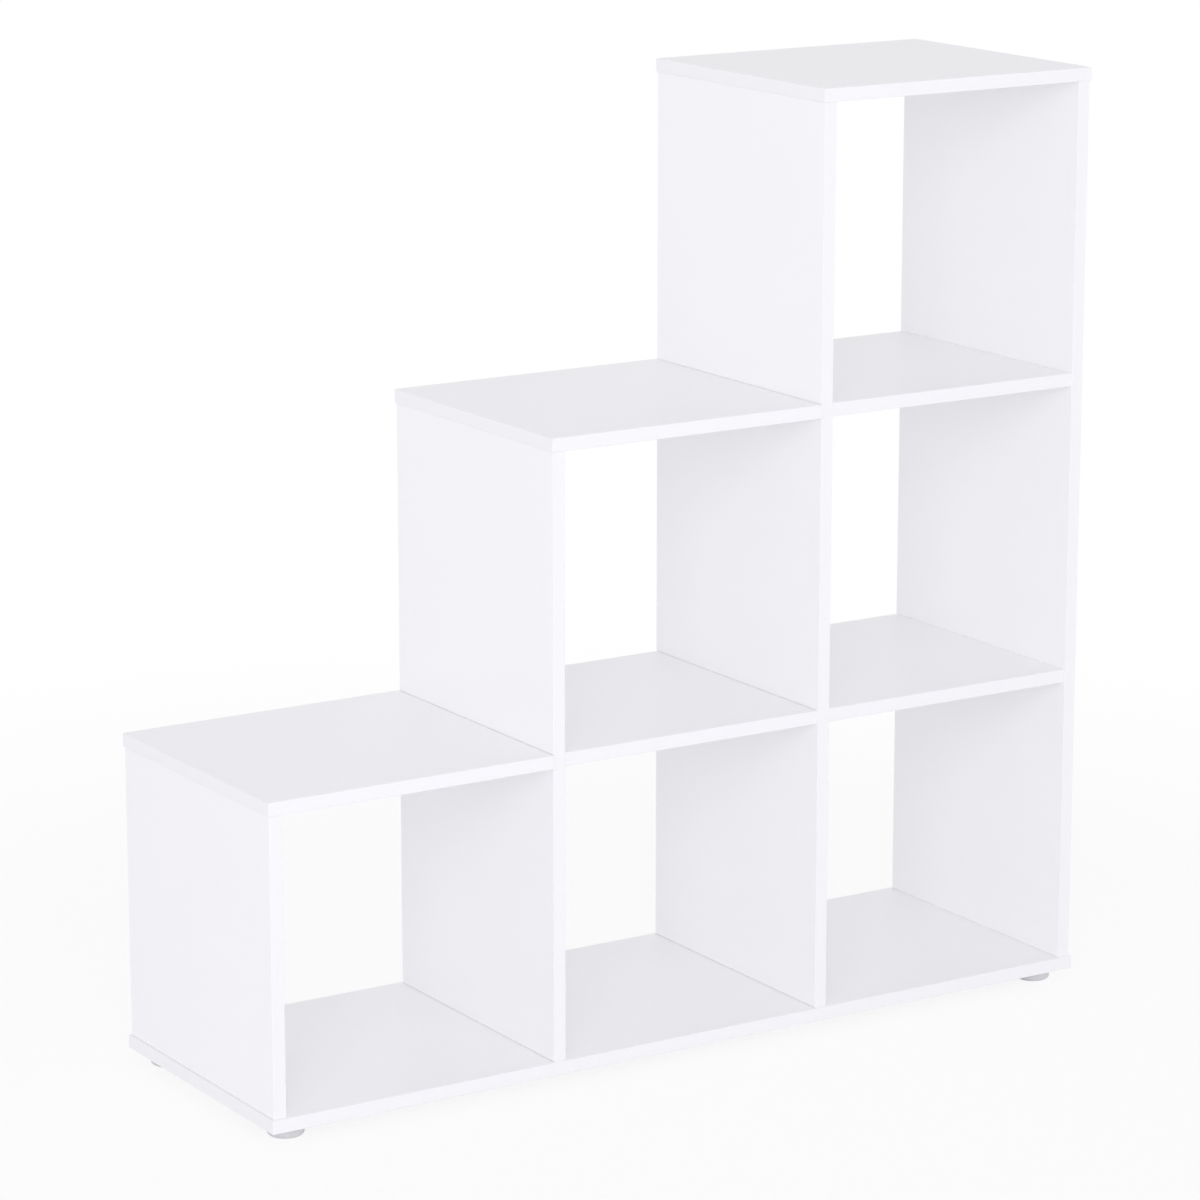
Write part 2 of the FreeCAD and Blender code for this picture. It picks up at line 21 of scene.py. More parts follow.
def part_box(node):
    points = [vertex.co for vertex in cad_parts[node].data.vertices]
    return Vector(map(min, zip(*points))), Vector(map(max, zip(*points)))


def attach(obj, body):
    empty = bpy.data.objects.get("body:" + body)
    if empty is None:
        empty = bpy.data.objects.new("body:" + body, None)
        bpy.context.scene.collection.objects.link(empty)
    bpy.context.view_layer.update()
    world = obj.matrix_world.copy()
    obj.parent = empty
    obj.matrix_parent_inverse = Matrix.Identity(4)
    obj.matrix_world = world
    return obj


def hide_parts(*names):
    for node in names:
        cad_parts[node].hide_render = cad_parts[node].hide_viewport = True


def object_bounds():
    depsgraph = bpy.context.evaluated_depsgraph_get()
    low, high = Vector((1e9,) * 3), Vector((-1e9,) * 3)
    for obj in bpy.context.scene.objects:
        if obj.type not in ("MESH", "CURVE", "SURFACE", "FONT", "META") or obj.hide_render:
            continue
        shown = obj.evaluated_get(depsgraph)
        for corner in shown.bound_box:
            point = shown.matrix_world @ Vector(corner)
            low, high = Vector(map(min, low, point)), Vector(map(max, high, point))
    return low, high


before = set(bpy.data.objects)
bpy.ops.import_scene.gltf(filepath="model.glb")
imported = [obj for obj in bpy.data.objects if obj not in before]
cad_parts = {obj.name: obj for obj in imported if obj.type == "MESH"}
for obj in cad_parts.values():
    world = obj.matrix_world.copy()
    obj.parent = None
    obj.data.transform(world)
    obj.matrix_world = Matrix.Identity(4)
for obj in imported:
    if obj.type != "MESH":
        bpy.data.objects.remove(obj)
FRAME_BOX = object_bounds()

LOG = logging.getLogger("staircase_bookshelf")
BODY = "root"
MM = 0.001
# How near a point is to a place that picks it, and how straight up or down a level face looks
NEAR = 0.05 * MM
LEVEL = 0.9999
UP = Vector((0, 0, 1))
DOWN = Vector((0, 0, -1))
RIGHT = Vector((1, 0, 0))
# Daylight panels are white with a trace of blue; what the camera sees behind the shelf is plain white
DAYLIGHT = "FBFAFF"
PLAIN_WHITE = "FFFFFF"

# The sRGB curve: a straight toe up to a limit, and a power above it
FULL_BYTE = 255
TOE_LIMIT = 0.04045
TOE_SLOPE = 12.92
CURVE_OFFSET = 0.055
CURVE_POWER = 2.4

# Sockets that share a name go by number, counted from zero. These are a Mix node's
FACTOR = 0
VALUE_A = 2
VALUE_B = 3
COLOUR_A = 6
COLOUR_B = 7
MIXED_VALUE = 0
MIXED_COLOUR = 2

Colour = tuple[float, float, float, float]
Inputs = dict[str | int, object]
Test = Callable[[Vector, Vector], bool]


# Nodes and colours


def linear(code: str) -> Colour:
    """Turns an sRGB colour into the linear one that shaders take.

    Args:
        code: six hex digits, two each for red, green and blue.

    Returns:
        Linear red, green and blue, and an alpha of one.
    """
    shares = [byte / FULL_BYTE for byte in bytes.fromhex(code)]
    values = [
        share / TOE_SLOPE if share <= TOE_LIMIT
        else ((share + CURVE_OFFSET) / (1 + CURVE_OFFSET)) ** CURVE_POWER
        for share in shares
    ]
    return (*values, 1.0)


def scale_of(size_mm: float) -> float:
    """Pattern scale on coordinates in metres that draws features of a size in millimetres."""
    return 1 / (size_mm * MM)


def set_inputs(tree: NodeTree, node: Node, inputs: Inputs) -> None:
    """Links or sets inputs of a node.

    Args:
        tree: nodes of a material or of the world.
        node: the node that takes the inputs.
        inputs: by name or number of the input, a socket to link from, or a value to set.
    """
    for key, value in inputs.items():
        if isinstance(value, NodeSocket):
            tree.links.new(value, node.inputs[key])
        else:
            node.inputs[key].default_value = value


def add_node(
    tree: NodeTree,
    kind: str,
    settings: dict[str, object] | None = None,
    inputs: Inputs | None = None,
) -> Node:
    """Adds a node with its settings and links.

    Args:
        tree: nodes of a material or of the world.
        kind: type of the node.
        settings: properties of the node, by name.
        inputs: by name or number of the input, a socket to link from, or a value to set.

    Returns:
        The new node.
    """
    node = tree.nodes.new(kind)
    for name, value in (settings or {}).items():
        setattr(node, name, value)
    set_inputs(tree, node, inputs or {})
    return node


# Finishes


class Across(Enum):
    """The axis that runs through a board's thickness."""

    X = 0
    Z = 2


class Finish:
    """A finish that makes its material once and puts it on pieces."""

    name: str

    def shade(self, tree: NodeTree, shader: Node) -> None:
        """Links the finish's pattern to the shader.

        Args:
            tree: nodes of the material.
            shader: the material's surface shader.
        """
        raise NotImplementedError

    def material(self) -> Material:
        """The material of this finish, made on its first use.

        Returns:
            A material with its own nodes.
        """
        made = bpy.data.materials.get(self.name)
        if made is None:
            made = bpy.data.materials.new(self.name)
            made.use_nodes = True
            self.shade(made.node_tree, made.node_tree.nodes["Principled BSDF"])
        return made

    def put_on(self, piece: Object) -> None:
        """Covers a whole piece with this finish.

        Args:
            piece: a frame node or a new piece.
        """
        if not piece.material_slots:
            piece.data.materials.append(None)
        for slot in piece.material_slots:
            slot.material = self.material()


@dataclass(frozen=True)
class FacedChipboard(Finish):
    """Chipboard pressed between sheets of white melamine paper.

    The faces are an even plain white with a satin sheen, which a fine pearl emboss breaks up. Where the
    board is cut or bored, the pressed brown chips show.
    """

    name: str
    across: Across
    face: str = "FAFAFA"
    face_clouded: str = "F8F8F8"
    chip_light: str = "B5A48B"
    chip_dark: str = "7B6A55"
    cloud_mm: float = 160.0
    cloud_detail: float = 3.0
    # Real pearl emboss has grains of about 0.5 mm; it is drawn coarser, so that it shows
    pearl_mm: float = 2.0
    pearl_detail: float = 1.0
    pearl_depth_mm: float = 0.012
    chip_mm: float = 2.4
    # The board is cut wherever its surface looks along the thickness by less than this share
    cut_share: float = 0.5
    sheen: tuple[float, float] = (0.36, 0.46)
    chip_roughness: float = 0.85
    ior: float = 1.5

    def melamine(self, tree: NodeTree, place: NodeSocket) -> tuple[NodeSocket, NodeSocket]:
        """Draws the faces, clouded and embossed.

        Args:
            tree: nodes of the material.
            place: coordinates on the piece.

        Returns:
            The colour of the faces, and the height of their emboss.
        """
        clouds = add_node(tree, "ShaderNodeTexNoise", None, {
            "Vector": place, "Scale": scale_of(self.cloud_mm), "Detail": self.cloud_detail,
        })
        pearl = add_node(tree, "ShaderNodeTexNoise", None, {
            "Vector": place, "Scale": scale_of(self.pearl_mm), "Detail": self.pearl_detail,
        })
        colour = add_node(tree, "ShaderNodeMix", {"data_type": "RGBA"}, {
            FACTOR: clouds.outputs["Fac"],
            COLOUR_A: linear(self.face), COLOUR_B: linear(self.face_clouded),
        })
        return colour.outputs[MIXED_COLOUR], pearl.outputs["Fac"]

    def chips(self, tree: NodeTree, place: NodeSocket) -> tuple[NodeSocket, NodeSocket]:
        """Draws the pressed chips that a cut lays bare.

        Args:
            tree: nodes of the material.
            place: coordinates on the piece.

        Returns:
            The colour of the chips, and their height.
        """
        cells = add_node(tree, "ShaderNodeTexVoronoi", None, {
            "Vector": place, "Scale": scale_of(self.chip_mm),
        })
        tone = add_node(tree, "ShaderNodeSeparateColor", None, {"Color": cells.outputs["Color"]})
        colour = add_node(tree, "ShaderNodeMix", {"data_type": "RGBA"}, {
            FACTOR: tone.outputs["Red"],
            COLOUR_A: linear(self.chip_light), COLOUR_B: linear(self.chip_dark),
        })
        return colour.outputs[MIXED_COLOUR], tone.outputs["Red"]

    def cuts(self, tree: NodeTree, normal: NodeSocket) -> NodeSocket:
        """Tells cut edges and bores from faces, by which way the surface looks.

        Args:
            tree: nodes of the material.
            normal: the way that the surface looks.

        Returns:
            One where the board is cut, else zero.
        """
        looks = add_node(tree, "ShaderNodeSeparateXYZ", None, {"Vector": normal})
        along = add_node(tree, "ShaderNodeMath", {"operation": "ABSOLUTE"}, {
            0: looks.outputs[self.across.value],
        })
        cut = add_node(tree, "ShaderNodeMath", {"operation": "LESS_THAN"}, {
            0: along.outputs["Value"], 1: self.cut_share,
        })
        return cut.outputs["Value"]

    def shade(self, tree: NodeTree, shader: Node) -> None:
        """Mixes the embossed faces and the cut chips.

        Args:
            tree: nodes of the material.
            shader: the material's surface shader.
        """
        coords = add_node(tree, "ShaderNodeTexCoord")
        face_colour, emboss = self.melamine(tree, coords.outputs["Object"])
        chip_colour, chip_height = self.chips(tree, coords.outputs["Object"])
        is_cut = self.cuts(tree, coords.outputs["Normal"])
        colour = add_node(tree, "ShaderNodeMix", {"data_type": "RGBA"}, {
            FACTOR: is_cut, COLOUR_A: face_colour, COLOUR_B: chip_colour,
        })
        satin = add_node(tree, "ShaderNodeMapRange", None, {
            "Value": emboss, "To Min": self.sheen[0], "To Max": self.sheen[1],
        })
        roughness = add_node(tree, "ShaderNodeMix", {"data_type": "FLOAT"}, {
            FACTOR: is_cut, VALUE_A: satin.outputs["Result"], VALUE_B: self.chip_roughness,
        })
        height = add_node(tree, "ShaderNodeMix", {"data_type": "FLOAT"}, {
            FACTOR: is_cut, VALUE_A: emboss, VALUE_B: chip_height,
        })
        bump = add_node(tree, "ShaderNodeBump", None, {
            "Distance": self.pearl_depth_mm * MM, "Height": height.outputs[MIXED_VALUE],
        })
        set_inputs(tree, shader, {
            "Base Color": colour.outputs[MIXED_COLOUR],
            "Roughness": roughness.outputs[MIXED_VALUE],
            "Normal": bump.outputs["Normal"],
            "IOR": self.ior,
        })


@dataclass(frozen=True)
class EdgingStrip(Finish):
    """White ABS strip, extruded, glued on and trimmed flush.

    It is a plain white, a little glossier than the faces, with faint lines drawn along its run. Its
    tone is a little darker than the faces', which is painted shade that holds down the lit front edges.
    """

    name: str
    across: Across
    # Painted shade: both tones are a little darker than the faces, so that the lit front edges come out
    # less bright
    strip_and_painted_shade: str = "F6F6F6"
    strip_line_and_painted_shade: str = "F4F4F4"
    # Real draw lines are about 0.1 mm apart; they are drawn coarser, so that they show
    line_mm: float = 0.7
    line_detail: float = 2.0
    run_mm: float = 400.0
    line_depth_mm: float = 0.004
    gloss: tuple[float, float] = (0.30, 0.38)
    ior: float = 1.53

    def shade(self, tree: NodeTree, shader: Node) -> None:
        """Draws lines that vary only through the board's thickness.

        Args:
            tree: nodes of the material.
            shader: the material's surface shader.
        """
        coords = add_node(tree, "ShaderNodeTexCoord")
        scales = [scale_of(self.run_mm)] * 3
        scales[self.across.value] = scale_of(self.line_mm)
        drawn = add_node(tree, "ShaderNodeMapping", None, {
            "Vector": coords.outputs["Object"], "Scale": scales,
        })
        lines = add_node(tree, "ShaderNodeTexNoise", None, {
            "Vector": drawn.outputs["Vector"], "Scale": 1.0, "Detail": self.line_detail,
        })
        colour = add_node(tree, "ShaderNodeMix", {"data_type": "RGBA"}, {
            FACTOR: lines.outputs["Fac"],
            COLOUR_A: linear(self.strip_and_painted_shade), COLOUR_B: linear(self.strip_line_and_painted_shade),
        })
        roughness = add_node(tree, "ShaderNodeMapRange", None, {
            "Value": lines.outputs["Fac"], "To Min": self.gloss[0], "To Max": self.gloss[1],
        })
        bump = add_node(tree, "ShaderNodeBump", None, {
            "Distance": self.line_depth_mm * MM, "Height": lines.outputs["Fac"],
        })
        set_inputs(tree, shader, {
            "Base Color": colour.outputs[MIXED_COLOUR],
            "Roughness": roughness.outputs["Result"],
            "Normal": bump.outputs["Normal"],
            "IOR": self.ior,
        })


@dataclass(frozen=True)
class GrainedFinish(Finish):
    """A finish of two close tones, clouded, with a grain that sets its gloss and its relief."""

    name: str
    tone: str
    tone_clouded: str
    cloud_mm: float
    grain_mm: float
    relief_mm: float
    gloss: tuple[float, float]
    metallic: float = 0.0
    ior: float = 1.5
    cloud_detail: float = 4.0
    grain_detail: float = 2.0

    def shade(self, tree: NodeTree, shader: Node) -> None:
        """Clouds the colour, and lets the grain break up the gloss. A metal keeps the shader's own IOR.

        Args:
            tree: nodes of the material.
            shader: the material's surface shader.
        """
        coords = add_node(tree, "ShaderNodeTexCoord")
        place = coords.outputs["Object"]
        clouds = add_node(tree, "ShaderNodeTexNoise", None, {
            "Vector": place, "Scale": scale_of(self.cloud_mm), "Detail": self.cloud_detail,
        })
        grain = add_node(tree, "ShaderNodeTexNoise", None, {
            "Vector": place, "Scale": scale_of(self.grain_mm), "Detail": self.grain_detail,
        })
        colour = add_node(tree, "ShaderNodeMix", {"data_type": "RGBA"}, {
            FACTOR: clouds.outputs["Fac"],
            COLOUR_A: linear(self.tone), COLOUR_B: linear(self.tone_clouded),
        })
        roughness = add_node(tree, "ShaderNodeMapRange", None, {
            "Value": grain.outputs["Fac"], "To Min": self.gloss[0], "To Max": self.gloss[1],
        })
        bump = add_node(tree, "ShaderNodeBump", None, {
            "Distance": self.relief_mm * MM, "Height": grain.outputs["Fac"],
        })
        set_inputs(tree, shader, {
            "Base Color": colour.outputs[MIXED_COLOUR],
            "Roughness": roughness.outputs["Result"],
            "Normal": bump.outputs["Normal"],
            "Metallic": self.metallic,
        })
        if not self.metallic:
            set_inputs(tree, shader, {"IOR": self.ior})


@dataclass(frozen=True)
class Beech(Finish):
    """Turned beech: warm and pale, with short darker flecks along the grain."""

    name: str = "turned_beech"
    pale: str = "D9B98C"
    fleck: str = "A87B4C"
    fleck_mm: float = 0.7
    fleck_length_mm: float = 5.0
    fleck_detail: float = 3.0
    fleck_waver: float = 0.4
    roughness: float = 0.6

    def shade(self, tree: NodeTree, shader: Node) -> None:
        """Draws flecks, longer along X and Z, the two ways that the dowels run.

        Args:
            tree: nodes of the material.
            shader: the material's surface shader.
        """
        coords = add_node(tree, "ShaderNodeTexCoord")
        long_scale = scale_of(self.fleck_length_mm)
        grain = add_node(tree, "ShaderNodeMapping", None, {
            "Vector": coords.outputs["Object"],
            "Scale": (long_scale, scale_of(self.fleck_mm), long_scale),
        })
        flecks = add_node(tree, "ShaderNodeTexNoise", None, {
            "Vector": grain.outputs["Vector"], "Scale": 1.0,
            "Detail": self.fleck_detail, "Distortion": self.fleck_waver,
        })
        colour = add_node(tree, "ShaderNodeMix", {"data_type": "RGBA"}, {
            FACTOR: flecks.outputs["Fac"],
            COLOUR_A: linear(self.pale), COLOUR_B: linear(self.fleck),
        })
        set_inputs(tree, shader, {
            "Base Color": colour.outputs[MIXED_COLOUR],
            "Roughness": self.roughness,
        })


# Milky polypropylene, moulded with a fine spark texture: greyer than the boards, with soft highlights
GLIDE_PLASTIC = GrainedFinish(
    "moulded_polypropylene", "DADADB", "D3D3D4", cloud_mm=12.0, grain_mm=0.8, relief_mm=0.008,
    gloss=(0.20, 0.30), ior=1.49,
)
# White polystyrene, moulded: smoother and glossier than the boards, so a cap's rim catches the light
CAP_PLASTIC = GrainedFinish(
    "moulded_polystyrene", "F5F5F5", "F1F1F2", cloud_mm=8.0, grain_mm=0.6, relief_mm=0.004,
    gloss=(0.26, 0.34), ior=1.59,
)
# Zinc die casting, tumbled: dull grey metal with a frosty grain
ZINC_CASTING = GrainedFinish(
    "tumbled_zinc_casting", "A9ABAF", "8F9196", cloud_mm=3.0, grain_mm=0.5, relief_mm=0.02,
    gloss=(0.42, 0.58), metallic=1.0,
)
# Bright zinc plating on steel: silvery, with a faint cool and warm cast from its passivation
PLATED_STEEL = GrainedFinish(
    "zinc_plated_steel", "CDD2DA", "C8C6BC", cloud_mm=4.0, grain_mm=0.4, relief_mm=0.006,
    gloss=(0.22, 0.36), metallic=1.0,
)


# Modelling


class Pick(Enum):
    """What is selected in an open piece."""

    EDGES = "EDGE"
    FACES = "FACE"


def clear_selection() -> None:
    """Leaves edit mode and deselects every object."""
    if bpy.context.mode != "OBJECT":
        bpy.ops.object.mode_set(mode="OBJECT")
    bpy.ops.object.select_all(action="DESELECT")


def select_alone(piece: Object) -> None:
    """Makes a piece the only object that the operators then act on.

    Args:
        piece: the piece to select.
    """
    clear_selection()
    bpy.context.view_layer.objects.active = piece
    piece.select_set(True)


@contextmanager
def opened(piece: Object) -> Iterator[None]:
    """Opens a piece in edit mode, and closes it again with its faces turned outwards.

    Args:
        piece: the piece to shape.

    Yields:
        Nothing.
    """
    select_alone(piece)
    bpy.ops.object.mode_set(mode="EDIT")
    yield
    bpy.ops.mesh.select_all(action="SELECT")
    bpy.ops.mesh.normals_make_consistent(inside=False)
    bpy.ops.object.mode_set(mode="OBJECT")


def pick(piece: Object, kind: Pick, test: Test) -> None:
    """Selects the faces or edges of an open piece that pass a test, and nothing else.

    Args:
        piece: a piece in edit mode.
        kind: whether faces or edges are tested.
        test: takes the middle and the outward direction of a face or an edge.
    """
    bpy.ops.mesh.select_mode(type=kind.value)
    bpy.ops.mesh.select_all(action="DESELECT")
    shape = bmesh.from_edit_mesh(piece.data)
    if kind is Pick.FACES:
        for face in shape.faces:
            face.select_set(test(face.calc_center_median(), face.normal))
    else:
        for edge in shape.edges:
            start, end = edge.verts
            edge.select_set(test((start.co + end.co) / 2, start.normal + end.normal))
    shape.select_flush_mode()
    bmesh.update_edit_mesh(piece.data)


def disc(name: str, radius: float, height: float, foot: Vector, segments: int) -> Object:
    """Adds an upright cylinder with its place in its mesh, ready to be shaped.

    Args:
        name: name of the new object.
        radius: radius of the cylinder.
        height: height of the cylinder.
        foot: middle of its lower end.
        segments: sides of the cylinder.

    Returns:
        The new object, alone in the selection.
    """
    clear_selection()
    bpy.ops.mesh.primitive_cylinder_add(
        vertices=segments, radius=radius, depth=height,
        end_fill_type="NGON", location=foot + UP * height / 2,
    )
    bpy.ops.object.transform_apply(location=True, rotation=True, scale=True)
    made = bpy.context.object
    made.name = name
    return made


def on_ring(axis: Vector, radius: float, z: float) -> Test:
    """A test for edges on a level circle.

    Args:
        axis: any point of the circle's axis.
        radius: radius of the circle.
        z: height of the circle.

    Returns:
        The test.
    """
    return lambda middle, _: (
        abs((middle - axis).xy.length - radius) < NEAR and abs(middle.z - z) < NEAR
    )


def level_face(z: float, outward: Vector) -> Test:
    """A test for faces that lie level at a height.

    Args:
        z: height of the faces.
        outward: up or down, the way that they look.

    Returns:
        The test.
    """
    return lambda middle, normal: abs(middle.z - z) < NEAR and normal.dot(outward) > LEVEL


def push(distance: Vector) -> None:
    """Extrudes the selected faces of the open piece by a distance."""
    bpy.ops.mesh.extrude_region_move(TRANSFORM_OT_translate={"value": distance})


def round_off(width: float, segments: int) -> None:
    """Rounds the selected edges of the open piece, or chamfers them with one segment."""
    bpy.ops.mesh.bevel(offset=width, segments=segments, affect="EDGES")


def copied(piece: Object, name: str, placing: Matrix) -> Object:
    """Copies a piece with a mesh of its own, placed within that mesh.

    Args:
        piece: the piece to copy.
        name: name of the copy.
        placing: moves the copy's mesh to its place.

    Returns:
        The copy, at the origin.
    """
    made = piece.copy()
    made.data = piece.data.copy()
    made.name = name
    made.data.name = name
    made.data.transform(placing)
    bpy.context.scene.collection.objects.link(made)
    return made


def hand_over(piece: Object, node: str, finish: Finish) -> None:
    """Finishes a new piece and lets it stand for a node of the frame.

    Args:
        piece: the finished mesh.
        node: the node that it stands for.
        finish: the finish that covers it.
    """
    finish.put_on(piece)
    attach(piece, BODY)
    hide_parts(node)
    LOG.info("%s: %d faces, stands for %s", piece.name, len(piece.data.polygons), node)


# Sub-assemblies


@dataclass
class Carcass:
    """The boards and the strips on their edges, which keep their solids."""

    lying: tuple[str, ...] = (
        "base_board", "low_top", "middle_top", "high_top",
        "middle_shelf", "lower_right_shelf", "upper_right_shelf",
    )
    standing: tuple[str, ...] = ("left_side", "low_divider", "tall_divider", "right_side")

    def dress(self) -> None:
        """Gives each board and its edging their finishes."""
        ways = (("lying", Across.Z, self.lying), ("standing", Across.X, self.standing))
        for way, across, boards in ways:
            board_finish = FacedChipboard(f"melamine_faced_chipboard_{way}", across)
            strip_finish = EdgingStrip(f"abs_edging_{way}", across)
            for board in boards:
                board_finish.put_on(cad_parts[board])
                strip_finish.put_on(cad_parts[f"{board}_edging"])
                LOG.info("%s: %s board, with its edging", board, way)


@dataclass
class Hardware:
    """The fasteners inside the joints and under the base, which keep their solids."""

    dowels: tuple[str, ...] = ("dowels",)
    castings: tuple[str, ...] = ("cam_locks",)
    steel: tuple[str, ...] = ("cam_bolts", "divider_bolts", "base_screws", "foot_screws")

    def dress(self) -> None:
        """Gives each group of fasteners its finish."""
        finishes = ((Beech(), self.dowels), (ZINC_CASTING, self.castings), (PLATED_STEEL, self.steel))
        for finish, groups in finishes:
            for group in groups:
                finish.put_on(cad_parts[group])
                LOG.info("%s: %s", group, finish.name)


@dataclass
class Glides:
    """Round glides under the corners: a rounded flank, a ring to slide on and a screw recess."""

    corners: tuple[str, ...] = (
        "foot_front_left", "foot_front_right", "foot_back_left", "foot_back_right",
    )
    segments: int = 96
    flank_round: float = 4.5 * MM
    round_segments: int = 12
    # The neck under the base is narrower than the flank, which leaves a dark line
    neck_height: float = 0.8 * MM
    neck_step: float = 0.8 * MM
    land_width: float = 2.5 * MM
    channel_width: float = 3.5 * MM
    channel_depth: float = 0.8 * MM
    recess_radius: float = 5.5 * MM
    recess_depth: float = 7 * MM
    hole_radius: float = 2.1 * MM
    arris: float = 0.35 * MM
    arris_segments: int = 3
    smooth_angle: float = math.radians(35)

    def model(self, node: str) -> Object:
        """Models one glide in the place of its solid.

        Args:
            node: the solid of the glide.

        Returns:
            The glide.
        """
        low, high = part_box(node)
        axis = (low + high) / 2
        radius = (high.x - low.x) / 2
        flank_top = high.z - self.neck_height
        floor = Vector((axis.x, axis.y, low.z))
        glide = disc(f"{node}_glide", radius, flank_top - low.z, floor, self.segments)
        with opened(glide):
            pick(glide, Pick.EDGES, on_ring(axis, radius, low.z))
            round_off(self.flank_round, self.round_segments)
            self.sink_underside(glide, axis, radius, low.z)
            pick(glide, Pick.FACES, level_face(flank_top, UP))
            bpy.ops.mesh.inset(thickness=self.neck_step)
            push(UP * self.neck_height)
            bpy.ops.mesh.inset(thickness=radius - self.neck_step - self.hole_radius)
            bpy.ops.mesh.delete(type="FACE")
            bpy.ops.mesh.select_mode(type="EDGE")
            bpy.ops.mesh.select_non_manifold(
                extend=False, use_wire=False, use_multi_face=False,
                use_non_contiguous=False, use_verts=False,
            )
            bpy.ops.mesh.bridge_edge_loops()
            pick(glide, Pick.EDGES, on_ring(axis, radius, flank_top))
            round_off(self.arris, self.arris_segments)
        bpy.ops.object.shade_smooth_by_angle(angle=self.smooth_angle)
        return glide

    def sink_underside(self, glide: Object, axis: Vector, radius: float, floor_z: float) -> None:
        """Sinks the channel and the open screw recess into a glide's flat underside.

        Args:
            glide: the glide, open in edit mode.
            axis: any point of the glide's axis.
            radius: the glide's full radius.
            floor_z: height of the underside.
        """
        underside = level_face(floor_z, DOWN)
        flat_radius = radius - self.flank_round
        channel_outer = flat_radius - self.land_width
        channel_inner = channel_outer - self.channel_width
        pick(glide, Pick.FACES, underside)
        bpy.ops.mesh.inset(thickness=self.land_width)
        bpy.ops.mesh.inset(thickness=self.channel_width)
        bpy.ops.mesh.inset(thickness=channel_inner - self.recess_radius)
        push(UP * self.recess_depth)
        bpy.ops.mesh.inset(thickness=self.recess_radius - self.hole_radius)
        bpy.ops.mesh.delete(type="FACE")
        pick(glide, Pick.FACES, lambda middle, normal: (
            underside(middle, normal) and channel_inner < (middle - axis).xy.length < channel_outer
        ))
        push(UP * self.channel_depth)

    def build(self) -> None:
        """Models the first glide, and copies it to the other corners."""
        first_node = self.corners[0]
        first_low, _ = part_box(first_node)
        first = self.model(first_node)
        for node in self.corners:
            glide = first
            if node != first_node:
                low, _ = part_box(node)
                glide = copied(first, f"{node}_glide", Matrix.Translation(low - first_low))
            hand_over(glide, node, GLIDE_PLASTIC)


